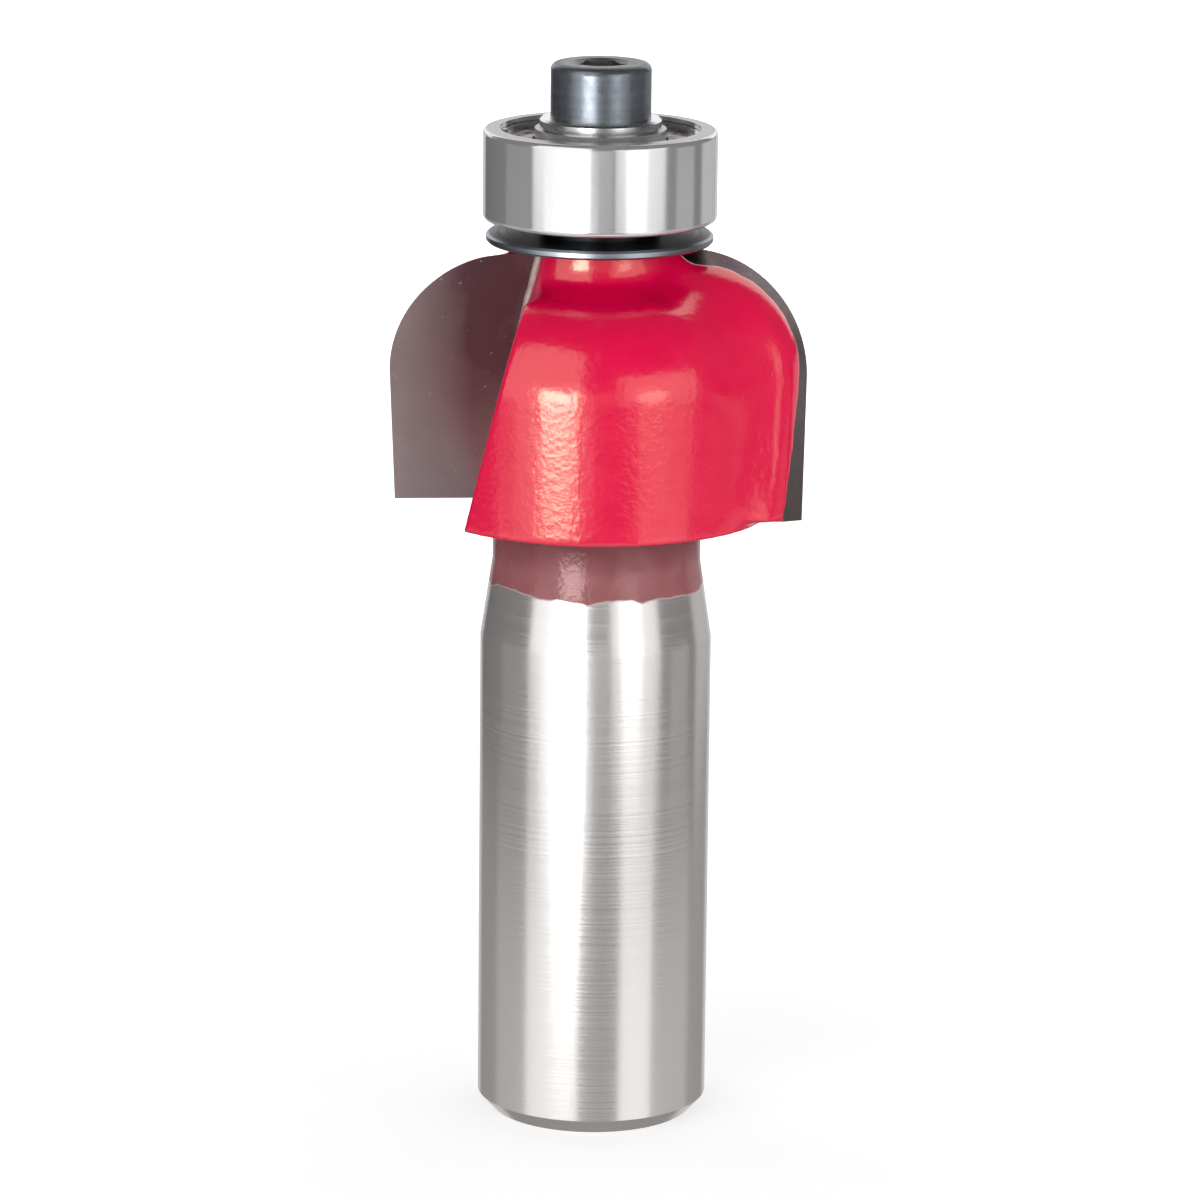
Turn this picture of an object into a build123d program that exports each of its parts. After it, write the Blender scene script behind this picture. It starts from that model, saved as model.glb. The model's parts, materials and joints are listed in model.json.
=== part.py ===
"""Cove router bit with a ball-bearing pilot, standing on the end of its shank.

Millimetres, +Z up. The origin is the centre of the shank's end face, and Z is the axis
that the bit turns about. Seen from above it cuts counter-clockwise.
"""

import os
from math import asin, cos, radians, sin, sqrt, tan

from build123d import *

os.makedirs("parts", exist_ok=True)

# ---- driving dimensions -------------------------------------------------------------------

# shank and neck
shank_diameter = 12.7            # half-inch collet size
shank_length = 27.0              # parallel part, with its end chamfer
shank_chamfer_height = 0.88
shank_chamfer_width = 0.8
neck_diameter = 11.4
neck_taper_length = 4.3          # cone from the shank down to the neck
neck_length = 2.7                # parallel neck under the head
neck_fillet = 1.2                # into the underside of the head

# head
head_diameter = 18.9             # turned steel behind the wings
head_shoulder_radius = 5.2
hub_diameter = 8.4               # carries the disc and the bearing stack
hub_rise = 0.56                  # how far the hub stands above the tips

# cutting edge
cutting_diameter = 22.76
edge_length = 7.74               # straight part of the edge, measured along the axis
cove_radius = 6.6
shear_angle = 15.0               # lean of the rake faces from the axis
hook_offset = 3.03               # rake face behind the centre line, at the head's underside
side_clearance = 21.0            # of the ground side, from the circle that the edge sweeps
top_clearance = 18.4             # of the ground top, from the horizontal
bottom_clearance = 9.9           # of the wings' underside, from the horizontal

# brazed tips and the steel that backs them
tip_thickness = 1.65
land_thickness = 0.75            # backing land, ground together with the tip; at its foot
land_lean = 6.7                  # the land's back leans away from the rake face
slope_thickness = 1.7            # from the land's back down to the turned head
slope_drop = 1.7
backing_inner_reach = 3.0        # how far the backing crosses the centre line

# gullets, milled along a line that leans with the rake face
gullet_root_reach = 6.21         # axis to the gullet's root, at the head's underside
gullet_root_lean = 0.2053        # the root closes in by this much per length up the rake face
gullet_floor_angle = 78.0        # between the rake face and the floor

# spigot and screw
spigot_clearance = 0.006         # slip fit in the bearing and its washers, on the radius
spigot_recess = 0.2              # the spigot stops short, so that the screw clamps the ring
spigot_chamfer = 0.2
screw_diameter = 3.0
screw_length = 8.0
screw_head_diameter = 5.46
screw_head_height = 3.0
screw_head_edge_radius = 0.4
screw_point_chamfer = 0.4
screw_hole_clearance = 0.02
screw_hole_spare = 1.0
drill_point_angle = 118.0
hex_across_flats = 2.5
hex_depth = 1.4
hex_mouth_diameter = 3.15         # countersunk, so that the key finds its way in
hex_mouth_angle = 120.0

# washers
disc_diameter = 12.34
disc_thickness = 0.48
disc_edge_chamfer = 0.12
spacer_diameter = 6.6
spacer_thickness = 0.73
clamp_washer_diameter = 6.6
clamp_washer_thickness = 0.57
clamp_washer_chamfer = 0.12

# ball bearing
bearing_diameter = 12.7
bearing_bore = 4.762
bearing_width = 4.978
bearing_edge_radius = 0.3
bore_chamfer = 0.15
ball_diameter = 2.381
ball_count = 7
raceway_clearance = 0.06
raceway_depth = 0.45             # of the groove in each ring, on the radius
rim_thickness = 0.9              # outer ring's wall outside the shields
shield_seat_depth = 0.79         # from the ring's face down to the shield's inner side
shield_thickness = 0.2
shield_running_gap = 0.12        # to the inner ring, on the radius
clip_height = 0.32
clip_width = 0.55                # on the radius
clip_groove_depth = 0.2          # into the rim, on the radius
clip_groove_play = 0.02
clip_gap_angle = 24.0
cage_gap = 0.28                  # to both rings' lands, on the radius
cage_base_height = 1.42          # below the balls' centres
cage_horn_height = 0.72          # above them
cage_pocket_clearance = 0.1

# ---- heights and radii that follow ---------------------------------------------------------

shank_radius = shank_diameter / 2
neck_radius = neck_diameter / 2
head_radius = head_diameter / 2
hub_radius = hub_diameter / 2
bore_radius = bearing_bore / 2
spigot_radius = bore_radius - spigot_clearance
cutting_radius = cutting_diameter / 2

neck_base = shank_length + neck_taper_length
head_bottom = neck_base + neck_length
edge_top = head_bottom + edge_length
tip_top = edge_top + cove_radius
hub_top = tip_top + hub_rise
disc_top = hub_top + disc_thickness
bearing_bottom = disc_top + spacer_thickness
bearing_middle = bearing_bottom + bearing_width / 2
bearing_top = bearing_bottom + bearing_width
spigot_top = bearing_top - spigot_recess
clamp_top = bearing_top + clamp_washer_thickness
screw_top = clamp_top + screw_head_height

shear = radians(shear_angle)
wing_turns = (0, 180)

# how far a gullet's cut runs: clear of the head outward and below, and out over the hub's top
gullet_reach = cutting_radius + head_radius
gullet_run_below = neck_length
gullet_run_above = (hub_top - head_bottom) / cos(shear) + hub_radius * tan(shear)

# heights up the rake face, along it: where the straight edge ends, and where the cove does
straight_height = edge_length / cos(shear)
cove_height = (edge_length + cove_radius) / cos(shear)

# how much the ground top and the underside close in for each length behind the rake face
top_relief = tan(shear) + tan(radians(top_clearance))
bottom_relief = tan(shear - radians(bottom_clearance))

# ---- planes of the wings -------------------------------------------------------------------


def turned(vector, turn):
    return Vector(*vector).rotate(Axis.Z, turn)


def wing_plane(depth, lean, turn):
    """Plane `depth` behind a rake face at its foot, leaning back: x outward, y up."""
    up_face = Vector(0, sin(shear), cos(shear))
    behind = Vector(0, -cos(shear), sin(shear))
    foot = Vector(0, -hook_offset, head_bottom) + behind * depth
    normal = behind * cos(lean) - up_face * sin(lean)
    return Plane(origin=turned(foot, turn), x_dir=turned((1, 0, 0), turn), z_dir=turned(normal, turn))


def edge_reach(face_height, depth):
    """Reach of the ground side at a height up the face, `depth` behind the cutting edge."""
    behind_centre = hook_offset - face_height * sin(shear)
    swept_angle = asin(behind_centre / cutting_radius)
    reach = sqrt(cutting_radius**2 - behind_centre**2)
    return reach - depth * tan(swept_angle + radians(side_clearance))


def root_reach(face_height):
    """Reach of the gullet's root, which is the tips' inner edge too."""
    return gullet_root_reach - gullet_root_lean * face_height


def backing_reach(face_height):
    """Inner side of the backing, upright and past the centre line at every height."""
    return -backing_inner_reach


def wing_outline(depth, lean, drop, inner_reach, turn):
    """Outline of a wing on such a plane, drawn in by `drop` along the ground side and top."""

    def rise(face_height, relief):
        """Way up the plane to what lies at `face_height` on the rake face and has `relief`."""
        return (face_height - depth * relief) / (cos(lean) + sin(lean) * relief)

    foot = rise(0, bottom_relief)
    straight = rise(straight_height, 0)
    top = rise(cove_height - drop, top_relief)
    reach_low = edge_reach(foot * cos(lean), depth + foot * sin(lean)) - drop
    reach_high = edge_reach(straight_height, depth + straight * sin(lean)) - drop
    cove_centre = cutting_radius - cove_radius
    with BuildSketch(wing_plane(depth, lean, turn)) as outline:
        with BuildLine():
            bottom = Line((inner_reach(foot), foot), (reach_low, foot))
            Line(bottom @ 1, (reach_high, straight))
            cove = EllipticalCenterArc(
                center=(cove_centre, straight),
                x_radius=reach_high - cove_centre,
                y_radius=top - straight,
                arc_size=90,
            )
            upper = Line(cove @ 1, (inner_reach(top), top))
            Line(upper @ 1, bottom @ 0)
        make_face()
    return outline.sketch


def seat_outline(depth, turn):
    """Outline of a tip's seat on the plane `depth` behind its rake face, open outward and up."""
    floor = -depth * bottom_relief
    with BuildSketch(wing_plane(depth, 0, turn)) as outline:
        with BuildLine():
            Polyline(
                (root_reach(floor), floor),
                (gullet_reach, floor),
                (gullet_reach, gullet_run_above),
                (root_reach(gullet_run_above), gullet_run_above),
                close=True,
            )
        make_face()
    return outline.sketch


def gullet_plane(turn):
    """Plane across a gullet: x out along the rake face, y away from it, z up the root."""
    up_face = Vector(0, sin(shear), cos(shear))
    root = up_face - Vector(gullet_root_lean, 0, 0)
    across = Vector(1, 0, 0) + up_face * gullet_root_lean
    return Plane(
        origin=turned((gullet_root_reach, -hook_offset, head_bottom), turn),
        x_dir=turned(across, turn),
        z_dir=turned(root, turn),
    )


# ---- cutter body: shank, neck, head, wings, hub and spigot ----------------------------------

land_depth = tip_thickness + land_thickness
slope_depth = land_depth + slope_thickness
hole_depth = screw_length - clamp_washer_thickness - spigot_recess + screw_hole_spare
hole_radius = screw_diameter / 2 + screw_hole_clearance
drill_point = hole_radius / tan(radians(drill_point_angle / 2))

with BuildPart() as cutter_body:
    with BuildSketch(Plane.XZ):
        with BuildLine():
            shank_side = Polyline(
                (0, 0),
                (shank_radius - shank_chamfer_width, 0),
                (shank_radius, shank_chamfer_height),
                (shank_radius, shank_length),
                (neck_radius, neck_base),
                (neck_radius, head_bottom - neck_fillet),
            )
            underside_fillet = JernArc(shank_side @ 1, (0, 1), neck_fillet, -90)
            head_side = Polyline(
                underside_fillet @ 1, (head_radius, head_bottom), (head_radius, edge_top)
            )
            shoulder = JernArc(head_side @ 1, (0, 1), head_shoulder_radius, 90)
            Polyline(
                shoulder @ 1,
                (hub_radius, edge_top + head_shoulder_radius),
                (hub_radius, hub_top),
                (spigot_radius, hub_top),
                (spigot_radius, spigot_top - spigot_chamfer),
                (spigot_radius - spigot_chamfer, spigot_top),
                (0, spigot_top),
                (0, 0),
            )
        make_face()
    revolve(axis=Axis.Z)

    # steel behind each tip: the land, then the slope down to the turned head
    lean = radians(land_lean)
    for turn in wing_turns:
        land_front = wing_outline(tip_thickness, 0, 0, backing_reach, turn)
        land_back = wing_outline(land_depth, lean, 0, backing_reach, turn)
        slope_end = wing_outline(slope_depth, lean, slope_drop, backing_reach, turn)
        loft([land_front, land_back], ruled=True)
        loft([land_back, slope_end], ruled=True)

    # gullets in front of the rake faces
    for turn in wing_turns:
        floor_run = gullet_reach / tan(radians(gullet_floor_angle))
        with BuildSketch(gullet_plane(turn)) as gullet:
            with BuildLine():
                Polyline(
                    (0, 0),
                    (gullet_reach, 0),
                    (gullet_reach, gullet_reach),
                    (floor_run, gullet_reach),
                    close=True,
                )
            make_face()
        extrude(amount=gullet_run_above, mode=Mode.SUBTRACT)
        extrude(gullet.sketch, amount=-gullet_run_below, mode=Mode.SUBTRACT)

    # seats of the tips
    for turn in wing_turns:
        loft([seat_outline(0, turn), seat_outline(tip_thickness, turn)], ruled=True, mode=Mode.SUBTRACT)

    # tapped hole for the cap screw, at its thread's outer size
    with BuildSketch(Plane.XZ):
        with BuildLine():
            Polyline(
                (0, spigot_top),
                (hole_radius, spigot_top),
                (hole_radius, spigot_top - hole_depth),
                (0, spigot_top - hole_depth - drill_point),
                close=True,
            )
        make_face()
    revolve(axis=Axis.Z, mode=Mode.SUBTRACT)

cutter_body.part.label = "cutter_body"
export_step(cutter_body.part, "parts/cutter_body.step")

# ---- brazed carbide tips --------------------------------------------------------------------

for number, turn in enumerate(wing_turns, start=1):
    with BuildPart() as carbide_tip:
        rake_face = wing_outline(0, 0, 0, root_reach, turn)
        brazed_face = wing_outline(tip_thickness, 0, 0, root_reach, turn)
        loft([rake_face, brazed_face], ruled=True)
    carbide_tip.part.label = f"carbide_tip_{number}"
    export_step(carbide_tip.part, f"parts/carbide_tip_{number}.step")

# ---- disc, spacer and clamp washer ----------------------------------------------------------

with BuildPart() as shield_disc:
    with BuildSketch(Plane.XY.offset(hub_top)):
        Circle(disc_diameter / 2)
        Circle(bore_radius, mode=Mode.SUBTRACT)
    extrude(amount=disc_thickness)
    rim = shield_disc.edges().filter_by(GeomType.CIRCLE).group_by(SortBy.RADIUS)[-1]
    chamfer(rim, disc_edge_chamfer)

shield_disc.part.label = "shield_disc"
export_step(shield_disc.part, "parts/shield_disc.step")

with BuildPart() as spacer_washer:
    with BuildSketch(Plane.XY.offset(disc_top)):
        Circle(spacer_diameter / 2)
        Circle(bore_radius, mode=Mode.SUBTRACT)
    extrude(amount=spacer_thickness)

spacer_washer.part.label = "spacer_washer"
export_step(spacer_washer.part, "parts/spacer_washer.step")

with BuildPart() as clamp_washer:
    with BuildSketch(Plane.XY.offset(bearing_top)):
        Circle(clamp_washer_diameter / 2)
        Circle(hole_radius, mode=Mode.SUBTRACT)
    extrude(amount=clamp_washer_thickness)
    rim = clamp_washer.edges().filter_by(GeomType.CIRCLE).group_by(SortBy.RADIUS)[-1]
    chamfer(rim.sort_by(Axis.Z)[-1], clamp_washer_chamfer)

clamp_washer.part.label = "clamp_washer"
export_step(clamp_washer.part, "parts/clamp_washer.step")

# ---- cap screw ------------------------------------------------------------------------------

with BuildPart() as cap_screw:
    with BuildSketch(Plane.XZ):
        with BuildLine():
            screw_side = Polyline(
                (0, clamp_top - screw_length),
                (screw_diameter / 2 - screw_point_chamfer, clamp_top - screw_length),
                (screw_diameter / 2, clamp_top - screw_length + screw_point_chamfer),
                (screw_diameter / 2, clamp_top),
                (screw_head_diameter / 2, clamp_top),
                (screw_head_diameter / 2, screw_top - screw_head_edge_radius),
            )
            head_edge = JernArc(screw_side @ 1, (0, 1), screw_head_edge_radius, 90)
            Polyline(head_edge @ 1, (0, screw_top), screw_side @ 0)
        make_face()
    revolve(axis=Axis.Z)
    with BuildSketch(Plane.XY.offset(screw_top)):
        RegularPolygon(hex_across_flats / 2, 6, major_radius=False)
    extrude(amount=-hex_depth, mode=Mode.SUBTRACT)
    mouth_depth = hex_mouth_diameter / 2 / tan(radians(hex_mouth_angle / 2))
    with BuildSketch(Plane.XZ):
        with BuildLine():
            Polyline(
                (0, screw_top),
                (hex_mouth_diameter / 2, screw_top),
                (0, screw_top - mouth_depth),
                close=True,
            )
        make_face()
    revolve(axis=Axis.Z, mode=Mode.SUBTRACT)

cap_screw.part.label = "cap_screw"
export_step(cap_screw.part, "parts/cap_screw.step")

# ---- ball bearing ---------------------------------------------------------------------------

pitch_radius = (bearing_diameter + bearing_bore) / 4
ball_radius = ball_diameter / 2
raceway_radius = ball_radius + raceway_clearance
half_width = bearing_width / 2
bearing_radius = bearing_diameter / 2
inner_land_radius = pitch_radius - raceway_radius + raceway_depth
outer_land_radius = pitch_radius + raceway_radius - raceway_depth
rim_radius = bearing_radius - rim_thickness
groove_radius = rim_radius + clip_groove_depth
seat_height = half_width - shield_seat_depth
clip_bottom = seat_height + shield_thickness
groove_bottom = clip_bottom - clip_groove_play
groove_top = clip_bottom + clip_height + clip_groove_play
bearing_plane = Plane.XY.offset(bearing_middle)
bearing_section = Plane(origin=(0, 0, bearing_middle), x_dir=(1, 0, 0), z_dir=(0, -1, 0))

with BuildPart() as bearing_inner_ring:
    with BuildSketch(bearing_section):
        with Locations(((bore_radius + inner_land_radius) / 2, 0)):
            Rectangle(inner_land_radius - bore_radius, bearing_width)
        with Locations((pitch_radius, 0)):
            Circle(raceway_radius, mode=Mode.SUBTRACT)
    revolve(axis=Axis.Z)
    for ring_end in (0, -1):
        rims = bearing_inner_ring.edges().filter_by(GeomType.CIRCLE).group_by(Axis.Z)[ring_end]
        chamfer(rims.sort_by(SortBy.RADIUS)[0], bore_chamfer)

bearing_inner_ring.part.label = "bearing_inner_ring"
export_step(bearing_inner_ring.part, "parts/bearing_inner_ring.step")

with BuildPart() as bearing_outer_ring:
    with BuildSketch(bearing_section):
        with BuildLine():
            ring_bore = Polyline(
                (outer_land_radius, 0),
                (outer_land_radius, seat_height),
                (rim_radius, seat_height),
                (rim_radius, groove_bottom),
                (groove_radius, groove_bottom),
                (groove_radius, groove_top),
                (rim_radius, groove_top),
                (rim_radius, half_width),
                (bearing_radius - bearing_edge_radius, half_width),
            )
            ring_edge = JernArc(ring_bore @ 1, (1, 0), bearing_edge_radius, -90)
            Polyline(ring_edge @ 1, (bearing_radius, 0), ring_bore @ 0)
        make_face()
        mirror(about=Plane.XZ)
        with Locations((pitch_radius, 0)):
            Circle(raceway_radius, mode=Mode.SUBTRACT)
    revolve(axis=Axis.Z)

bearing_outer_ring.part.label = "bearing_outer_ring"
export_step(bearing_outer_ring.part, "parts/bearing_outer_ring.step")

# covers: each lies on its seat in the outer ring, held by a split wire ring
shield_bore_radius = inner_land_radius + shield_running_gap

for name, flip in (("upper_shield", 1), ("lower_shield", -1)):
    with BuildPart() as shield:
        with BuildSketch(bearing_plane.offset(flip * seat_height)):
            Circle(rim_radius)
            Circle(shield_bore_radius, mode=Mode.SUBTRACT)
        extrude(amount=flip * shield_thickness)
    shield.part.label = name
    export_step(shield.part, f"parts/{name}.step")

    with BuildPart() as clip:
        with BuildSketch(bearing_plane.offset(flip * clip_bottom)):
            Circle(groove_radius)
            Circle(groove_radius - clip_width, mode=Mode.SUBTRACT)
            with BuildLine():
                gap_end = bearing_diameter * tan(radians(clip_gap_angle / 2))
                Polyline(
                    (0, 0), (-bearing_diameter, gap_end), (-bearing_diameter, -gap_end), close=True
                )
            make_face(mode=Mode.SUBTRACT)
        extrude(amount=flip * clip_height)
    clip.part.label = f"{name}_clip"
    export_step(clip.part, f"parts/{name}_clip.step")

# balls, evenly spaced by the cage
for number in range(ball_count):
    with BuildPart() as ball:
        with Locations((0, 0, bearing_middle)):
            with PolarLocations(pitch_radius, 1, start_angle=number * 360 / ball_count):
                Sphere(ball_radius)
    ball.part.label = f"ball_{number + 1}"
    export_step(ball.part, f"parts/ball_{number + 1}.step")

with BuildPart() as ball_cage:
    with BuildSketch(bearing_plane.offset(-cage_base_height)):
        Circle(outer_land_radius - cage_gap)
        Circle(inner_land_radius + cage_gap, mode=Mode.SUBTRACT)
    extrude(amount=cage_base_height + cage_horn_height)
    with Locations((0, 0, bearing_middle)):
        with PolarLocations(pitch_radius, ball_count):
            Cylinder(
                ball_radius + cage_pocket_clearance,
                ball_diameter,
                rotation=(0, 90, 0),
                mode=Mode.SUBTRACT,
            )

ball_cage.part.label = "ball_cage"
export_step(ball_cage.part, "parts/ball_cage.step")
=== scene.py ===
# %% [markdown]
# # A router bit with a guide bearing
# This notebook dresses a finished solid model of a router bit: two carbide
# edges brazed to a red coated steel head, a ground shank below it, and a small
# ball bearing with a cap screw on top. The solids come from a CAD program and
# are already right in size and place, so the work here is surface: edges that
# catch light, coatings that wear, metals that show how they were cut.
#
# The first cell loads the solids. They are in metres, and every piece that is
# made later goes straight to its place in that same frame.

import bpy
import bmesh
import math
import json
import numpy as np
from mathutils import Matrix, Vector
from mathutils.kdtree import KDTree

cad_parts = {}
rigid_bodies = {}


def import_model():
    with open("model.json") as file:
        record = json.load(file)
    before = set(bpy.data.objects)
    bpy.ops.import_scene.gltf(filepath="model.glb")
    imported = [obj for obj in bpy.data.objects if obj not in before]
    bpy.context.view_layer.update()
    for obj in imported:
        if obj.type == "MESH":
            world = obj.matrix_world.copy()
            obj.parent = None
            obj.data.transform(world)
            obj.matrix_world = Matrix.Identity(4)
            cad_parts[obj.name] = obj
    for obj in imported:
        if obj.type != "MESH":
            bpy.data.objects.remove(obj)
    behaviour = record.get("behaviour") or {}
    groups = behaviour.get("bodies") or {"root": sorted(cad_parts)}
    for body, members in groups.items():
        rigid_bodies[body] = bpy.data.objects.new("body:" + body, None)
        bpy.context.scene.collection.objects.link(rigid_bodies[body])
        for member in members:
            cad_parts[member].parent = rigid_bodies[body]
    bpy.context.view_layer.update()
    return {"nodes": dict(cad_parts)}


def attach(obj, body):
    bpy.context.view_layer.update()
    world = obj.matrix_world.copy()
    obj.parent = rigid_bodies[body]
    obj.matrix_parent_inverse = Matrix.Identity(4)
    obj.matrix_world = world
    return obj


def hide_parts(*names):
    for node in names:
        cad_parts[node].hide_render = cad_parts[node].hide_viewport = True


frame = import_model()
solids = frame["nodes"]
MM = 0.001

# %% [markdown]
# ## A short way to write shader nodes
# A material in Blender is a small network: each node takes values or links,
# and hands its result on. Written out in full, one node takes five lines. The
# helper below makes a node, sets its options and fills its inputs with either
# a number or the output of an earlier node, so that a material reads from top
# to bottom like a recipe.

# %% Node helpers
def node(tree, kind, inputs=None, **options):
    made = tree.nodes.new(kind)
    for option, value in options.items():
        setattr(made, option, value)
    for key, value in (inputs or {}).items():
        if isinstance(value, bpy.types.NodeSocket):
            tree.links.new(value, made.inputs[key])
        else:
            made.inputs[key].default_value = value
    return made


def math_node(tree, operation, first, second=0.0, third=0.0):
    return node(tree, "ShaderNodeMath", {0: first, 1: second, 2: third},
                operation=operation).outputs[0]


def blend(tree, factor, first, second):
    mixer = node(tree, "ShaderNodeMix", data_type="RGBA")
    for socket, value in ((mixer.inputs[0], factor), (mixer.inputs[6], first),
                          (mixer.inputs[7], second)):
        if isinstance(value, bpy.types.NodeSocket):
            tree.links.new(value, socket)
        else:
            socket.default_value = value
    return mixer.outputs[2]


def ramp(tree, value, low, high, low_out=0.0, high_out=1.0):
    return node(tree, "ShaderNodeMapRange",
                {"Value": value, "From Min": low, "From Max": high,
                 "To Min": low_out, "To Max": high_out}).outputs[0]


def shade(red, green, blue):
    """A colour as it looks on a screen, 0 to 255, turned into linear light"""
    def linear(v):
        v /= 255
        return v / 12.92 if v <= 0.04045 else ((v + 0.055) / 1.055) ** 2.4
    return (linear(red), linear(green), linear(blue), 1.0)


def new_material(name, **values):
    material = bpy.data.materials.new(name)
    material.use_nodes = True
    shader = material.node_tree.nodes["Principled BSDF"]
    for key, value in values.items():
        shader.inputs[key.replace("_", " ")].default_value = value
    return material, material.node_tree, shader


# %% [markdown]
# ## Patterns that several finishes share
# Nearly every metal face here was turned or ground, so it carries fine rings
# round the axis, and nearly every finish has soft blotches of some size. Both
# come from noise. Rings are noise that is read by height and distance from the
# axis alone, so that it can't change on the way round. An image would need
# seams and a fixed sharpness, and noise has neither. Sizes are in millimetres,
# so that a pattern can be compared with the piece that it is on.

# %% Patterns that several finishes share
def place(tree):
    """Object coordinates: the point itself, in metres"""
    return node(tree, "ShaderNodeTexCoord").outputs["Object"]


def parts(tree, point):
    split = node(tree, "ShaderNodeSeparateXYZ", {0: point})
    return split.outputs[0], split.outputs[1], split.outputs[2]


def around_axis(tree, point):
    """Distance from the bit's own axis, in metres"""
    x, y, _ = parts(tree, point)
    flat = node(tree, "ShaderNodeCombineXYZ", {0: x, 1: y, 2: 0.0}).outputs[0]
    return node(tree, "ShaderNodeVectorMath", {0: flat},
                operation="LENGTH").outputs["Value"]


def cloud(tree, point, size, detail=2.0):
    """Soft noise whose blotches are about this many millimetres across"""
    return node(tree, "ShaderNodeTexNoise",
                {"Vector": point, "Scale": 1 / (size * MM), "Detail": detail,
                 "Roughness": 0.5}).outputs["Fac"]


def stretched(tree, point, x, y, z):
    return node(tree, "ShaderNodeVectorMath", {0: point, 1: (x, y, z)},
                operation="MULTIPLY").outputs[0]


def turning_lines(tree, point, pitch):
    """Fine rings round the axis, as a tool or a grinding wheel leaves them"""
    _, _, z = parts(tree, point)
    reach = around_axis(tree, point)
    rings = node(tree, "ShaderNodeCombineXYZ",
                 {0: z, 1: reach, 2: 0.0}).outputs[0]
    return node(tree, "ShaderNodeTexNoise",
                {"Vector": rings, "Scale": 1 / (pitch * MM), "Detail": 3.0,
                 "Roughness": 0.6}).outputs["Fac"]


def relief(tree, shader, height, depth):
    """Bumps this many millimetres deep, in shading only"""
    bump = node(tree, "ShaderNodeBump",
                {"Height": height, "Distance": depth * MM, "Strength": 1.0})
    tree.links.new(bump.outputs[0], shader.inputs["Normal"])


print("helpers ready")

# %% [markdown]
# ## Coated steel
# The body is one bar of steel. Its shank is ground bright, for the collet. Its
# head has a thick glossy red coat with a slight orange peel, and on the neck
# the coat thins out to a dull brownish film that ends in a wavy line. The film
# is painted darker towards the head, a painted shade under the head.
#
# It could be three materials with a hard border. One material with two masks
# is used, because the borders are soft, and because height along the axis,
# moved a little by noise, is all that decides where they run.

# %% Coated steel
coated_steel, tree, shader = new_material(
    "coated_steel", IOR=1.6, Specular_IOR_Level=0.85, Coat_Roughness=0.10,
    Coat_IOR=1.5)
point = place(tree)
_, _, z = parts(tree, point)
drift = cloud(tree, stretched(tree, point, 1, 1, 0.4), 2.6)
edge_height = math_node(tree, "MULTIPLY_ADD", drift, 1.3 * MM, z)
painted = ramp(tree, edge_height, 30.66 * MM, 30.78 * MM)
full_coat = ramp(tree, edge_height, 34.0 * MM, 34.7 * MM)
LINE_PITCH = 0.12       # mm between the rings that grinding leaves
grain = turning_lines(tree, point, LINE_PITCH)
ground_steel = blend(tree, grain, shade(226, 222, 220), shade(244, 241, 239))
mottle = cloud(tree, point, 1.4, 3.0)
crimson = blend(tree, mottle, shade(216, 1, 64), shade(226, 3, 72))
# Painted shade: the film is made darker towards the head above it.
shade_under_head = ramp(tree, z, 31.4 * MM, 33.4 * MM)
film_with_painted_shade = blend(tree, shade_under_head,
                  blend(tree, mottle, shade(128, 76, 78), shade(158, 100, 102)),
                  blend(tree, mottle, shade(92, 44, 50), shade(118, 58, 64)))
coating = blend(tree, full_coat, film_with_painted_shade, crimson)
tree.links.new(blend(tree, painted, ground_steel, coating),
               shader.inputs["Base Color"])
tree.links.new(math_node(tree, "MULTIPLY_ADD", painted, -0.8, 0.8),
               shader.inputs["Metallic"])
tree.links.new(math_node(tree, "MULTIPLY", full_coat, 0.5),
               shader.inputs["Coat Weight"])
edge_tint = blend(tree, painted, (1, 1, 1, 1), (0.45, 0.35, 0.35, 1))
tree.links.new(blend(tree, full_coat, edge_tint, (1.0, 0.88, 0.55, 1.0)),
               shader.inputs["Specular Tint"])
bare_gloss = ramp(tree, grain, 0.3, 0.7, 0.16, 0.26)
coat_gloss = ramp(tree, mottle, 0.3, 0.7, 0.15, 0.19)
gloss = node(tree, "ShaderNodeMix", {0: painted, 2: bare_gloss, 3: coat_gloss},
             data_type="FLOAT").outputs[0]
tree.links.new(gloss, shader.inputs["Roughness"])
peel = cloud(tree, point, 0.34, 3.0)
fine_lines = math_node(tree, "MULTIPLY", grain, 0.15)
height = node(tree, "ShaderNodeMix", {0: painted, 2: fine_lines, 3: peel},
              data_type="FLOAT").outputs[0]
relief(tree, shader, height, 0.022)

# %% [markdown]
# ## Plain metals
# The washer, the springs that hold the shields, the balls and their cage are
# small or hidden. Each is one bright metal with faint rings from its making.
# One function makes them all from a dark tone, a light tone and a roughness,
# because a material of its own for each would be the same recipe four times.

# %% Plain metals
def plain_metal(name, dark, light, rough):
    material, tree, shader = new_material(name, Metallic=1.0)
    grain = turning_lines(tree, place(tree), LINE_PITCH)
    tree.links.new(blend(tree, grain, dark, light), shader.inputs["Base Color"])
    tree.links.new(ramp(tree, grain, 0.3, 0.7, rough * 0.8, rough * 1.2),
                   shader.inputs["Roughness"])
    relief(tree, shader, grain, 0.002)
    return material
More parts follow.
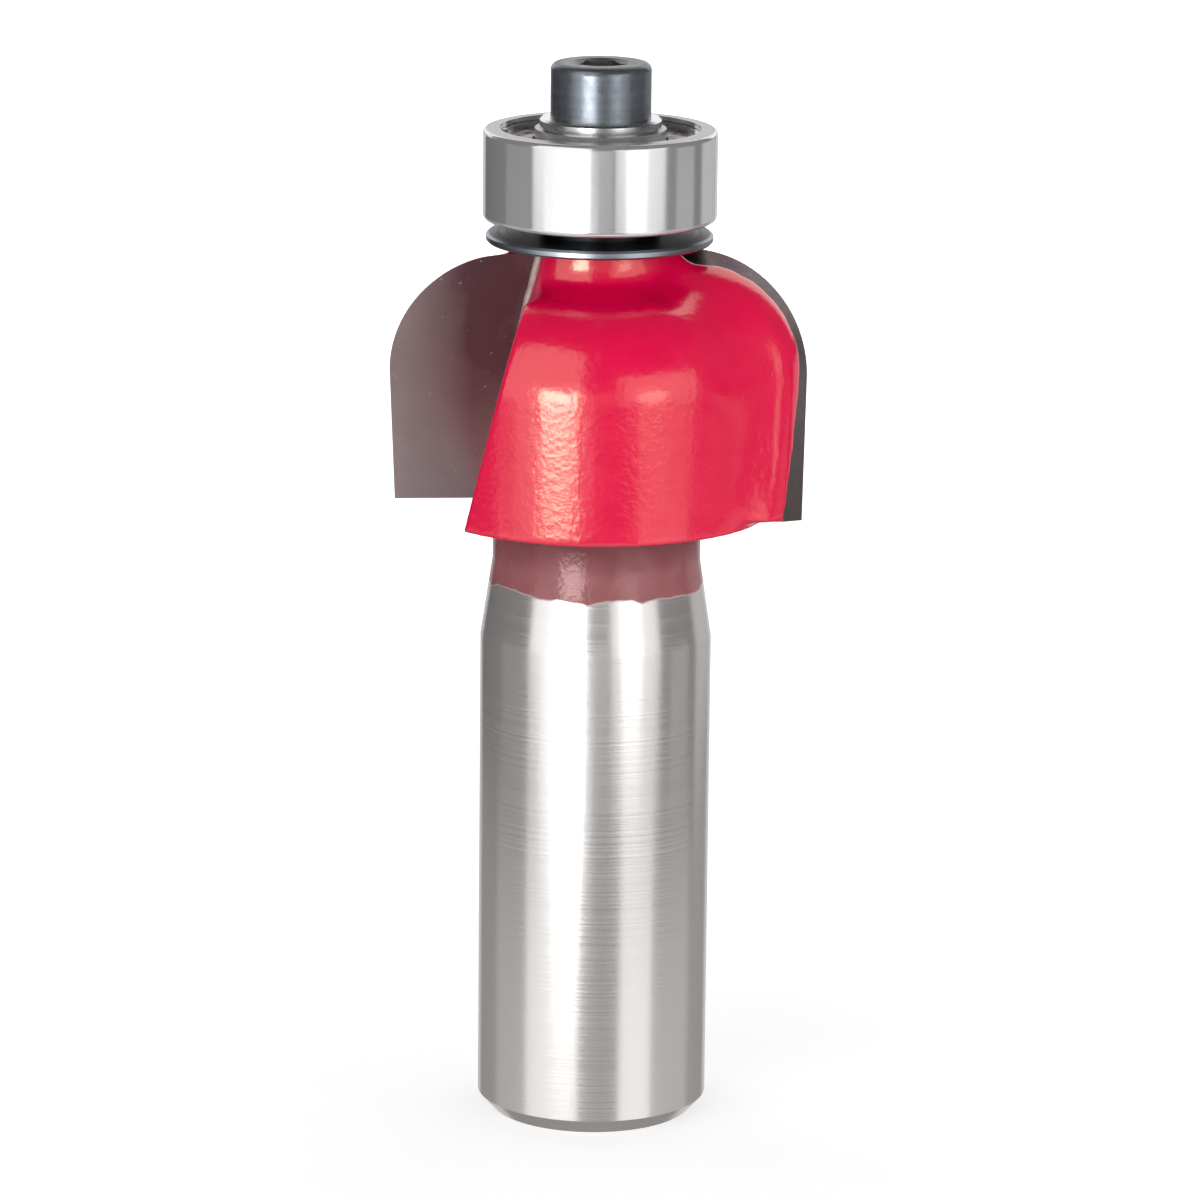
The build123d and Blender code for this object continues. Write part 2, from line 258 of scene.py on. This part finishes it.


# %% [markdown]
# ## Carbide
# The tips are sintered tungsten carbide, ground to shape: grey, hard and a
# little rough. Towards the axis and the top the grey is painted a dark mauve,
# a painted shade with a painted reflection of the red head. Some of the red
# coat lands on the strip next to the steel.
#
# The painted shade is a mask from distance and height, broken up by noise.
# The red strip is a mask from the distance behind the leaning rake face, which
# is why the lean's sine and cosine are needed.

# %% Carbide
carbide, tree, shader = new_material("carbide", Metallic=1.0)
point = place(tree)
x, y, z = parts(tree, point)
reach = math_node(tree, "ABSOLUTE", x)
smoke = cloud(tree, stretched(tree, point, 1, 1, 0.6), 2.6, 6.0)
# Painted shade and painted reflection of the red head: darker and redder
# towards the axis and the top.
inward = ramp(tree, reach, 10.8 * MM, 6.8 * MM)
towards_top = ramp(tree, z, 36.0 * MM, 44.0 * MM, 0.35, 1.0)
painted_shade = math_node(tree, "MULTIPLY", inward, towards_top)
painted_shade = math_node(tree, "MULTIPLY", painted_shade,
                 ramp(tree, smoke, 0.3, 0.7, 0.7, 1.25))
painted_shade = node(tree, "ShaderNodeClamp", {0: painted_shade}).outputs[0]
grey = blend(tree, smoke, shade(154, 136, 137), shade(188, 170, 170))
# The dark mauve of the painted shade and painted reflection.
tint = blend(tree, smoke, shade(94, 70, 76), shade(116, 90, 97))
speck = ramp(tree, cloud(tree, point, 0.30, 3.0), 0.70, 0.76, 0.0, 0.7)
bare = blend(tree, speck, blend(tree, painted_shade, grey, tint), shade(214, 204, 204))
facing = math_node(tree, "SIGN", x)
SHEAR_COS, SHEAR_SIN = 0.966, 0.259     # the tips lean 15 degrees
sideways = math_node(tree, "MULTIPLY", y, SHEAR_COS)
depth = math_node(tree, "SUBTRACT",
                  math_node(tree, "MULTIPLY", facing, sideways),
                  math_node(tree, "MULTIPLY", z, SHEAR_SIN))
overspray = ramp(tree, depth, -13.30 * MM, -13.40 * MM)
tree.links.new(blend(tree, overspray, bare, shade(220, 2, 68)),
               shader.inputs["Base Color"])
tree.links.new(math_node(tree, "SUBTRACT", 1.0, overspray),
               shader.inputs["Metallic"])
scratches = cloud(tree, stretched(tree, point, 1.0, 1.0, 14.0), 0.9, 3.0)
rough = ramp(tree, scratches, 0.3, 0.7, 0.36, 0.5)
gloss = node(tree, "ShaderNodeMix", {0: overspray, 2: rough, 3: 0.22},
             data_type="FLOAT").outputs[0]
tree.links.new(gloss, shader.inputs["Roughness"])
relief(tree, shader, scratches, 0.004)

# %% [markdown]
# ## The disc under the bearing
# A thin blackened disc lies between the head and the bearing. Its rim is
# painted a bright bluish grey, a painted highlight. One ramp on the distance
# from the axis parts the two tones, so the disc needs no second material.

# %% Disc
dark_washer, tree, shader = new_material("dark_washer", Metallic=1.0)
point = place(tree)
reach = around_axis(tree, point)
grain = turning_lines(tree, point, 0.1)
# Painted highlight: the rim is coloured bright bluish grey.
rim = ramp(tree, reach, 5.95 * MM, 6.08 * MM)
black = blend(tree, grain, shade(52, 52, 56), shade(74, 76, 82))
bright = blend(tree, grain, shade(150, 160, 172), shade(184, 192, 202))
tree.links.new(blend(tree, rim, black, bright), shader.inputs["Base Color"])
tree.links.new(ramp(tree, grain, 0.3, 0.7, 0.26, 0.4),
               shader.inputs["Roughness"])
relief(tree, shader, grain, 0.002)

# %% [markdown]
# ## Bearing rings and shields
# A bearing's rings are ground and polished on the walls that run on the work,
# and left duller, with stains of oil, on the faces that look up and down. The
# shields are pressed sheet with a film of oil in patches. The wall and the face
# are told apart by the direction in which a point of the surface looks, so one
# material serves the whole ring and no face has to be picked by hand.

# %% Bearing rings and shields
def upward(tree):
    """0 on upright walls, 1 on faces that look straight up or down"""
    normal = node(tree, "ShaderNodeTexCoord").outputs["Normal"]
    height = node(tree, "ShaderNodeSeparateXYZ", {0: normal}).outputs[2]
    return ramp(tree, math_node(tree, "ABSOLUTE", height), 0.75, 0.97)


bearing_steel, tree, shader = new_material("bearing_steel", Metallic=0.8)
point = place(tree)
flat = upward(tree)
grain = turning_lines(tree, point, LINE_PITCH)
stain = cloud(tree, point, 1.1, 4.0)
ground = blend(tree, grain, shade(230, 229, 231), shade(240, 239, 241))
dull = blend(tree, stain, shade(150, 144, 142), shade(206, 200, 197))
tree.links.new(blend(tree, flat, ground, dull), shader.inputs["Base Color"])
side_gloss = ramp(tree, grain, 0.3, 0.7, 0.12, 0.18)
face_gloss = ramp(tree, stain, 0.3, 0.7, 0.24, 0.36)
gloss = node(tree, "ShaderNodeMix", {0: flat, 2: side_gloss, 3: face_gloss},
             data_type="FLOAT").outputs[0]
tree.links.new(gloss, shader.inputs["Roughness"])
relief(tree, shader, grain, 0.0008)

shield_steel, tree, shader = new_material("shield_steel", Metallic=0.9)
point = place(tree)
film = cloud(tree, point, 0.9, 5.0)
oil = blend(tree, ramp(tree, film, 0.35, 0.62),
            shade(84, 80, 78), shade(204, 199, 196))
tree.links.new(oil, shader.inputs["Base Color"])
tree.links.new(ramp(tree, film, 0.3, 0.7, 0.2, 0.42),
               shader.inputs["Roughness"])
relief(tree, shader, film, 0.02)

# %% [markdown]
# ## The screw
# A cap screw has a black oxide coat with the rings of its turning. The faces
# that look up and down are painted darker, a painted shade on the top. In the
# socket, patches are painted bright steel, a painted glint. The patch is a mask
# of three parts: near the axis, below the rim, and noise.

# %% Screw
black_screw, tree, shader = new_material("black_screw", Metallic=0.85)
point = place(tree)
_, _, z = parts(tree, point)
reach = around_axis(tree, point)
grain = turning_lines(tree, point, 0.14)
oxide = blend(tree, grain, shade(112, 118, 125), shade(140, 147, 154))
# Painted shade: the faces that look up and down are made darker.
oxide = blend(tree, upward(tree), oxide, shade(88, 89, 92))
screw_blotches = cloud(tree, point, 0.5, 3.0)
# Painted glint: bright steel in patches inside the socket.
socket = math_node(tree, "MULTIPLY", ramp(tree, reach, 1.45 * MM, 1.38 * MM),
                   ramp(tree, z, 57.9 * MM, 57.5 * MM))
socket = math_node(tree, "MULTIPLY", socket,
                   ramp(tree, screw_blotches, 0.42, 0.55, 0.5, 1.0))
tree.links.new(blend(tree, socket, oxide, shade(236, 232, 230)),
               shader.inputs["Base Color"])
tree.links.new(ramp(tree, screw_blotches, 0.3, 0.7, 0.26, 0.38),
               shader.inputs["Roughness"])
relief(tree, shader, grain, 0.003)


# %% [markdown]
# ## Giving out the finishes
# Every solid comes with material slots that are named in the record. Each slot
# gets the finish of the same name, and no solid is moved or reshaped.

# %% Giving out the finishes
finishes = {
    "coated_steel": coated_steel,
    "carbide": carbide,
    "dark_washer": dark_washer,
    "bright_washer": plain_metal(
        "bright_washer", shade(236, 236, 236), shade(248, 248, 248), 0.25),
    "black_screw": black_screw,
    "bearing_steel": bearing_steel,
    "shield_steel": shield_steel,
    "spring_wire": plain_metal(
        "spring_wire", shade(190, 192, 196), shade(220, 222, 226), 0.25),
    "ball_steel": plain_metal(
        "ball_steel", shade(210, 212, 215), shade(228, 230, 232), 0.08),
    "cage_steel": plain_metal(
        "cage_steel", shade(180, 176, 160), shade(205, 200, 180), 0.3),
}
for name, solid in solids.items():
    for slot in solid.material_slots:
        slot.material = finishes[slot.material.name.split(".")[0]]
print("finishes:", sorted(finishes))

# %% [markdown]
# ## Softening the head
# The head is turned from bar, milled for its two wings, and then dipped in a
# thick coating. The coating pools in every inside corner, so where the wing's
# back meets the round head there is no crease to be seen, only a slow change of
# curve. The solid model has those corners sharp.
#
# Here the head is rebuilt on an even grid of small quads (a voxel remesh), and
# the points near each inside corner are moved, again and again, towards the
# middle of their neighbours. Paint settles in much the same way. Three light
# rounds go over the whole head, to take off the steps of the grid. After those,
# points far from a corner stay where they are, so the cutting form keeps its
# size. The shank isn't remeshed, because ground steel shows every ripple.
#
# A bevel in the shader would be shorter, but it changes only how the corner is
# lit, and the exported mesh would still have the crease.
#
# The first cell finds the corners on the solid, where the edges are still
# exact, and parts the head from the shank just below the head's underside.

# %% Cutting the body in two
def merged(solid):
    form = bmesh.new()
    form.from_mesh(solid.data)
    bmesh.ops.remove_doubles(form, verts=form.verts, dist=2e-6)
    return form


def cut(form, height, keep_above):
    whole = form.verts[:] + form.edges[:] + form.faces[:]
    made = bmesh.ops.bisect_plane(
        form, geom=whole, dist=1e-8, plane_co=(0, 0, height),
        plane_no=(0, 0, 1), clear_inner=keep_above, clear_outer=not keep_above)
    rim = [part for part in made["geom_cut"]
           if isinstance(part, bmesh.types.BMEdge)]
    return bmesh.ops.edgeloop_fill(form, edges=rim)["faces"]


def corner_points(form, test):
    """Points every 0.1 mm along the edges that pass the test"""
    found = []
    for edge in form.edges:
        if len(edge.link_faces) != 2:
            continue
        bend = math.degrees(edge.calc_face_angle_signed(0))
        start, end = (vert.co / MM for vert in edge.verts)
        middle = (start + end) / 2
        if test(bend, middle, math.hypot(middle.x, middle.y)):
            count = max(2, int((end - start).length / 0.1))
            found += [start.lerp(end, i / count) for i in range(count + 1)]
    return found


head_foot = 33.99                   # mm: just below the head's underside
body = merged(solids["cutter_body"])
wing_corner = corner_points(
    body, lambda bend, middle, reach: -60 < bend < -10
    and 34.3 < middle.z < 47.0 and reach > 5.6)
hub_corner = corner_points(
    body, lambda bend, middle, reach: bend < -35
    and 46.8 < middle.z < 47.8 and 4.0 < reach < 5.8)
head = body.copy()
cut(head, head_foot * MM, True)
cap = cut(body, head_foot * MM, False)
print(len(wing_corner), "points on the wings' corners,",
      len(hub_corner), "round the hub")

# %% Remeshing the head
VOXEL = 0.15                        # mm: one quad of the new head
bmesh.ops.scale(head, vec=(1000, 1000, 1000), verts=head.verts)
head_mesh = bpy.data.meshes.new("head")
head.to_mesh(head_mesh)
head_object = bpy.data.objects.new("head", head_mesh)
bpy.context.scene.collection.objects.link(head_object)
remesh = head_object.modifiers.new("even quads", "REMESH")
remesh.mode = "VOXEL"
remesh.voxel_size = VOXEL
evaluated = head_object.evaluated_get(bpy.context.evaluated_depsgraph_get())
even_mesh = bpy.data.meshes.new_from_object(evaluated)
bpy.data.objects.remove(head_object)
print(len(even_mesh.vertices), "points on the head")

# %% Letting the corners settle
points = np.empty(len(even_mesh.vertices) * 3)
even_mesh.vertices.foreach_get("co", points)
points = points.reshape(-1, 3)
pairs = np.empty(len(even_mesh.edges) * 2, dtype=int)
even_mesh.edges.foreach_get("vertices", pairs)
first, second = pairs.reshape(-1, 2).T


def eased(values, start, end):
    share = np.clip((values - start) / (end - start), 0, 1)
    return share * share * (3 - 2 * share)


def nearness(corner, full, none):
    """1 within `full` mm of the corner, falling to 0 at `none` mm"""
    tree = KDTree(len(corner))
    for index, spot in enumerate(corner):
        tree.insert(spot, index)
    tree.balance()
    away = np.array([tree.find(point)[2] for point in points])
    share = np.clip((none - away) / (none - full), 0, 1)
    return share * share * (3 - 2 * share)


def settle(weight, rounds):
    count = np.bincount(np.concatenate([first, second]),
                        minlength=len(points))[:, None]
    for _ in range(rounds):
        total = np.stack([
            np.bincount(first, points[second, k], len(points))
            + np.bincount(second, points[first, k], len(points))
            for k in range(3)], axis=1)
        points[:] += 0.5 * weight[:, None] * (total / count - points)


settle(np.full(len(points), 1.0), 3)
above_foot = eased(points[:, 2], 34.1, 35.4)
settle(nearness(wing_corner, 1.3, 2.7) * above_foot, 210)
settle(nearness(hub_corner, 0.8, 2.0), 110)

# %% [markdown]
# ## The pool of coating behind the tips
# Behind each carbide tip the dipped coat gathers into a raised edge. It is
# highest near the hub and follows the curve of the cove.
#
# The points are moved away from the middle of the cove's arc, by a share that
# is full in a narrow band behind the tip and fades on every side. A few more
# rounds of settling then round the band off. A separate strip of mesh would
# leave a seam where the real coat has none.

# %% The pool of coating along the tips' backs
cove_start, cove_height = 4.78, 41.74   # mm: the middle of the cove's arc
RAKE_DEPTH = -11.78                     # mm: where the rake faces lie
POOL_PUSH = 0.40                        # mm that the pool stands out sideways
for side in (1, -1):
    across, up = side * points[:, 0], points[:, 2] - cove_height
    depth = RAKE_DEPTH - (SHEAR_COS * side * points[:, 1]
                          - SHEAR_SIN * points[:, 2])
    past = across - cove_start
    spread = np.where(up > 0, np.where(past > 0, np.hypot(past, up), up), past)
    share = (eased(spread, 4.3, 5.2) * eased(depth, 1.45, 1.6)
             * (1 - eased(depth, 2.5, 4.0)) * eased(across, 2.2, 4.2))
    reach = np.maximum(spread, 0.1)
    outward = np.stack([
        np.where(past > 0, past / reach, 0) * side,
        np.zeros(len(points)),
        np.where(up > 0, np.where(past > 0, up / reach, 1), 0)], axis=1)
    lift = 0.30 + 0.5 * (1 - eased(across, 3.8, 5.2))
    points += share[:, None] * outward * np.stack(
        [np.full(len(points), POOL_PUSH)] * 2 + [lift], axis=1)
    settle(share, 24)
even_mesh.vertices.foreach_set("co", (points * MM).ravel())
even_mesh.shade_smooth()

# %% [markdown]
# ## Joining head and shank
# The shank keeps the solid's own faces, shaded smooth but for its true edges.
# Its cut end is drawn up a little way inside the head, so that no gap can open
# between the two. They become one mesh, which stands for the solid body.

# %% Joining head and shank
JOIN_LAP = 0.2                      # mm that the shank runs up into the head
for face in body.faces:
    face.smooth = True
for edge in body.edges:
    edge.smooth = len(edge.link_faces) == 2 and edge.calc_face_angle(0) < 0.5
raised = bmesh.ops.extrude_face_region(body, geom=cap)["geom"]
bmesh.ops.translate(body, vec=(0, 0, JOIN_LAP * MM), verts=[
    part for part in raised if isinstance(part, bmesh.types.BMVert)])
body.from_mesh(even_mesh)
body_mesh = bpy.data.meshes.new("coated_body")
body.to_mesh(body_mesh)
body_mesh.materials.append(coated_steel)
coated_body = bpy.data.objects.new("coated_body", body_mesh)
bpy.context.scene.collection.objects.link(coated_body)
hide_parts("cutter_body")
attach(coated_body, "cutter")
print("coated_body:", len(body_mesh.polygons), "faces")

# %% [markdown]
# ## The braze line
# Each carbide tip is fixed with silver solder: a strip of it is melted between
# the tip and the steel, and a little runs out along the seam as a thin pale
# bead. It is never quite even. A Geometry Nodes group draws it: a straight
# curve down the seam, divided finely, pushed about by noise, and given a round
# section whose size also wanders. The group has named inputs for its ends,
# its thickness and its wander, so both seams use it. The noise has no seed to
# set: it depends only on place, and so is the same in every run.

# %% A group that draws one bead
def bead_group():
    group = bpy.data.node_groups.new("braze_bead", "GeometryNodeTree")
    face = group.interface
    for label, kind in (
            ("Start", "NodeSocketVector"), ("End", "NodeSocketVector"),
            ("Radius", "NodeSocketFloat"), ("Wander", "NodeSocketFloat"),
            ("Finish", "NodeSocketMaterial")):
        face.new_socket(label, in_out="INPUT", socket_type=kind)
    face.new_socket("Bead", in_out="OUTPUT", socket_type="NodeSocketGeometry")
    given = group.nodes.new("NodeGroupInput").outputs
    line = node(group, "GeometryNodeCurvePrimitiveLine",
                {"Start": given["Start"], "End": given["End"]})
    fine = node(group, "GeometryNodeResampleCurve",
                {"Curve": line.outputs["Curve"], "Count": 140})
    position = node(group, "GeometryNodeInputPosition").outputs[0]
    noise = node(group, "ShaderNodeTexNoise",
                 {"Vector": position, "Scale": 900.0, "Detail": 2.0})
    centred = node(group, "ShaderNodeVectorMath",
                   {0: noise.outputs["Color"], 1: (0.5, 0.5, 0.5)},
                   operation="SUBTRACT").outputs[0]
    push = node(group, "ShaderNodeVectorMath",
                {0: centred, "Scale": given["Wander"]},
                operation="SCALE").outputs[0]
    bent = node(group, "GeometryNodeSetPosition",
                {"Geometry": fine.outputs[0], "Offset": push})
    thick = math_node(group, "MULTIPLY_ADD", noise.outputs[0], 1.2, 0.4)
    sized = node(group, "GeometryNodeSetCurveRadius",
                 {"Curve": bent.outputs[0], "Radius": thick})
    section = node(group, "GeometryNodeCurvePrimitiveCircle",
                   {"Resolution": 10, "Radius": given["Radius"]})
    tube = node(group, "GeometryNodeCurveToMesh",
                {"Curve": sized.outputs[0], "Profile Curve": section.outputs[0],
                 "Fill Caps": True})
    smooth = node(group, "GeometryNodeSetShadeSmooth",
                  {"Geometry": tube.outputs[0]})
    coloured = node(group, "GeometryNodeSetMaterial",
                    {"Geometry": smooth.outputs[0],
                     "Material": given["Finish"]})
    result = group.nodes.new("NodeGroupOutput")
    group.links.new(coloured.outputs[0], result.inputs["Bead"])
    return group


# %% Growing a plain mesh from a group
def grown(name, group, settings):
    """A plain mesh object, made by a node group with these settings"""
    base = bpy.data.meshes.new(name)
    source = bpy.data.objects.new(name + "_source", base)
    bpy.context.scene.collection.objects.link(source)
    modifier = source.modifiers.new(name, "NODES")
    modifier.node_group = group
    for item in group.interface.items_tree:
        if item.in_out == "INPUT" and item.name in settings:
            modifier[item.identifier] = settings[item.name]
    source.update_tag()
    evaluated = source.evaluated_get(bpy.context.evaluated_depsgraph_get())
    mesh = bpy.data.meshes.new_from_object(evaluated)
    bpy.data.objects.remove(source)
    made = bpy.data.objects.new(name, mesh)
    bpy.context.scene.collection.objects.link(made)
    return made


# %% Braze beads
braze, tree, shader = new_material("braze", Metallic=0.35)
point = place(tree)
tarnish = cloud(tree, point, 0.8, 3.0)
tree.links.new(blend(tree, tarnish, shade(150, 116, 116), shade(214, 196, 188)),
               shader.inputs["Base Color"])
tree.links.new(ramp(tree, tarnish, 0.3, 0.7, 0.3, 0.5),
               shader.inputs["Roughness"])
relief(tree, shader, cloud(tree, point, 0.25), 0.01)

bead = bead_group()
seam_top = Vector((3.16, 0.81, 48.30))      # mm
seam_foot = Vector((6.20, -3.03, 34.10))
for number, side in ((1, -1), (2, 1)):
    ends = [Vector((-side * (end.x + 0.12), -side * (end.y + 0.10),
                    end.z)) * MM for end in (seam_top, seam_foot)]
    piece = grown("braze_bead_%d" % number, bead, {
        "Start": ends[0], "End": ends[1], "Radius": 0.25 * MM,
        "Wander": 0.10 * MM, "Finish": braze})
    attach(piece, "cutter")
    print(piece.name, len(piece.data.polygons), "faces",
          [slot.name for slot in piece.material_slots])

# %% [markdown]
# ## Camera
# The camera is a long lens, a little above the bit and 4 degrees to the left of
# its front. Its three directions are worked out from its heading, pitch and
# roll and set as one matrix. A tracking constraint would be shorter, but it
# keeps the picture level and leaves out the small roll.

# %% Camera
distance, rise = 313.8 * MM, 104.0 * MM
turn, pitch, heading, roll = (
    math.radians(angle) for angle in (4.0, 13.461, 4.041, 0.590))
eye = Vector((-distance * math.sin(turn), -distance * math.cos(turn), rise))
ahead = Vector((math.sin(heading) * math.cos(pitch),
                math.cos(heading) * math.cos(pitch), -math.sin(pitch)))
level = ahead.cross(Vector((0, 0, 1))).normalized()
above = level.cross(ahead)
right = math.cos(roll) * level + math.sin(roll) * above
up = -math.sin(roll) * level + math.cos(roll) * above
lens = bpy.data.cameras.new("camera")
SENSOR = 36                         # mm
FRAME, FOCAL = 1200, 5868.7         # in pixels of the finished picture
lens.sensor_width = SENSOR
lens.lens = FOCAL / FRAME * SENSOR
lens.clip_start = 0.01
camera = bpy.data.objects.new("camera", lens)
bpy.context.scene.collection.objects.link(camera)
camera.matrix_world = Matrix.Translation(eye) @ Matrix(
    (right, up, -ahead)).transposed().to_4x4()
bpy.context.scene.camera = camera
bpy.context.scene.view_settings.view_transform = "Standard"

# %% [markdown]
# ## Light
# Polished metal has hardly any colour of its own: it shows the room. So the
# room is built first. A tall softbox each side of the lens, in three heights,
# draws the two bright bands that run down the shank and the bearing. All round
# them stands a tent of dark card, which keeps the rest of the steel grey and
# the red coat deep. From 3 to 60 degrees up it is open behind the bit, where
# the white background shows in the faces that look up. A small bright core in
# each softbox gives the coat its hot spots. Four fill lamps light the bit and
# the floor, and don't show in any reflection.
#
# The cards and the softboxes reach below the floor, because an upright wall
# seen from above reflects what lies lower than itself.

# %% Directions round the bit
middle = Vector((0, 0, 40 * MM))
toward_camera = math.atan2(eye.y, eye.x)


def direction(azimuth, elevation=0.0):
    """From the bit: degrees to the right of the camera, and degrees upward"""
    side, lift = toward_camera + math.radians(azimuth), math.radians(elevation)
    return Vector((math.cos(side) * math.cos(lift),
                   math.sin(side) * math.cos(lift), math.sin(lift)))


# %% Softboxes
def softbox(name, azimuth, low, high, half_angle, away, radiance):
    """An upright soft lamp that fills this window, in degrees, for the bit"""
    foot, head = (away * math.tan(math.radians(a)) for a in (low, high))
    lamp = bpy.data.lights.new(name, "AREA")
    lamp.shape = "RECTANGLE"
    lamp.size = 2 * away * math.tan(math.radians(half_angle))
    lamp.size_y = head - foot
    lamp.energy = radiance * math.pi * lamp.size * lamp.size_y
    holder = bpy.data.objects.new(name, lamp)
    bpy.context.scene.collection.objects.link(holder)
    outward = direction(azimuth)
    spot = middle + away * outward + Vector((0, 0, (foot + head) / 2))
    facing = (-outward).to_track_quat("-Z", "Y").to_matrix().to_4x4()
    holder.matrix_world = Matrix.Translation(spot) @ facing
    holder.visible_camera = False
    return holder


lamps = [
    softbox("left_foot", -42, -32, -13.9, 28, 0.60, 0.74),
    softbox("left_lower", -29, -13.9, -10.4, 27, 0.60, 1.00),
    softbox("left_upper", -39, -10.4, 57, 30, 0.60, 1.05),
    softbox("right_foot", 44, -32, -13.9, 17, 0.60, 0.80),
    softbox("right_lower", 45, -13.9, -10.4, 19, 0.60, 0.26),
    softbox("right_upper", 41, -10.4, 22, 26, 0.60, 0.90),
    softbox("left_core", -26, -11.6, 3, 12, 0.55, 8.0),
    softbox("right_core", 36, -8, 3, 10, 0.55, 1.7),
    softbox("front_fill", 20, -30, 30, 60, 0.60, 0.42),
    softbox("right_fill", 90, -30, 40, 35, 0.60, 1.1),
    softbox("back_fill_left", -140, -10, 60, 35, 0.60, 0.9),
    softbox("back_fill_right", 150, -10, 60, 30, 0.60, 0.9),
]
for lamp in lamps[-4:]:
    lamp.visible_glossy = False
print("lamps:", [lamp.name for lamp in lamps])


# %% [markdown]
# ## Cards
# A card is a curved patch of a sphere round the bit that gives off a little
# light and can be seen in reflections only. So it shapes the greys on metal
# and coat without lighting the floor or hiding anything. Its place is given in
# degrees as seen from the bit, in the same way as a softbox's window.

# %% Cards
def glow(name, radiance, tint=(1.0, 1.0, 1.0)):
    material = bpy.data.materials.new(name)
    material.use_nodes = True
    tree = material.node_tree
    tree.nodes.clear()
    light = node(tree, "ShaderNodeEmission", {0: (*tint, 1.0), 1: radiance})
    node(tree, "ShaderNodeOutputMaterial", {0: light.outputs[0]})
    return material


def card(name, left, right, low, high, away, radiance, tint=(1.0, 1.0, 1.0)):
    """A curved grey card that only reflections see"""
    mesh = bpy.data.meshes.new(name)
    columns, rows = 24, 12
    points = [middle + away * direction(left + (right - left) * i / columns,
                                        low + (high - low) * j / rows)
              for i in range(columns + 1) for j in range(rows + 1)]
    step = rows + 1
    faces = [(i * step + j, i * step + j + 1,
              (i + 1) * step + j + 1, (i + 1) * step + j)
             for i in range(columns) for j in range(rows)]
    mesh.from_pydata(points, [], faces)
    mesh.materials.append(glow(name, radiance, tint))
    made = bpy.data.objects.new(name, mesh)
    bpy.context.scene.collection.objects.link(made)
    for ray in ("visible_camera", "visible_diffuse", "visible_transmission",
                "visible_volume_scatter", "visible_shadow"):
        setattr(made, ray, False)


warm = (1.0, 0.95, 0.92)
CARDS = [
    ("foot_tent", -180, 180, -88, -14.2, 1.0, 0.20, warm),
    ("lower_tent", -180, 180, -14.2, 3, 1.0, 0.03, warm),
    ("upper_tent", -140, 140, 3, 30, 1.0, 0.05, warm),
    ("tent_front", -140, 140, 30, 60, 1.0, 0.05, warm),
    ("tent_roof", -180, 180, 60, 89, 1.0, 0.05, warm),
    ("middle_card", -9, 12, -10.4, 3, 0.9, 0.34),
    ("foot_card", -14, 25, -34, -14.2, 0.9, 0.18),
    ("foot_left", -112, -70, -34, -14.2, 0.9, 0.36),
    ("foot_right", 60, 112, -34, -14.2, 0.9, 0.38),
    ("ring_right", 80, 105, -10.4, -7.5, 0.9, 0.40),
    ("ring_left", -105, -74, -10.4, -7.5, 0.9, 0.20),
    ("edge_card", 118, 152, -13.5, -2, 0.9, 0.42),
    ("back_right", 154, 178, -40, 3, 0.9, 0.60),
    ("back_left", -178, -154, -40, 3, 0.9, 0.60),
    ("under_card", -75, 80, -66, -34, 0.88, 0.66),
]
for settings in CARDS:
    card(*settings)

# %% [markdown]
# ## Floor and background
# The floor is chalk white and also gives off light, so that it is as white as
# the background. Near the bit it gives off less, so that the bit's soft shadow
# can be seen there. The floor itself is kept out of reflections, where the
# cards do its work.

# %% Floor
floor_mesh = bpy.data.meshes.new("floor")
floor_edge = 2.0
floor_mesh.from_pydata(
    [(-floor_edge, -floor_edge, 0), (floor_edge, -floor_edge, 0),
     (floor_edge, floor_edge, 0), (-floor_edge, floor_edge, 0)],
    [], [(0, 1, 2, 3)])
floor = bpy.data.objects.new("floor", floor_mesh)
bpy.context.scene.collection.objects.link(floor)
floor_paint = bpy.data.materials.new("floor_paint")
floor_paint.use_nodes = True
tree = floor_paint.node_tree
tree.nodes.clear()
away = node(tree, "ShaderNodeVectorMath", {0: place(tree)},
            operation="LENGTH").outputs["Value"]
glow_share = ramp(tree, away, 0.02, 0.20, 0.47, 0.99)
chalk = node(tree, "ShaderNodeBsdfDiffuse",
             {0: (0.7, 0.7, 0.7, 1)}).outputs[0]
lift = node(tree, "ShaderNodeEmission",
            {0: (1, 1, 1, 1), 1: glow_share}).outputs[0]
both = node(tree, "ShaderNodeAddShader", {0: chalk, 1: lift}).outputs[0]
node(tree, "ShaderNodeOutputMaterial", {0: both})
floor_mesh.materials.append(floor_paint)
for ray in ("visible_glossy", "visible_diffuse", "visible_transmission",
            "visible_shadow"):
    setattr(floor, ray, False)

# %% Background
world = bpy.data.worlds.new("studio")
bpy.context.scene.world = world
world.use_nodes = True
tree = world.node_tree
tree.nodes.clear()
path = node(tree, "ShaderNodeLightPath")
seen = math_node(tree, "MAXIMUM", path.outputs["Is Camera Ray"],
                 math_node(tree, "MAXIMUM", path.outputs["Is Glossy Ray"],
                           path.outputs["Is Transmission Ray"]))
strength = node(tree, "ShaderNodeMix", {0: seen, 2: 0.30, 3: 1.0},
                data_type="FLOAT").outputs[0]
sky = node(tree, "ShaderNodeBackground", {0: (1, 1, 1, 1), 1: strength})
node(tree, "ShaderNodeOutputWorld", {0: sky.outputs[0]})
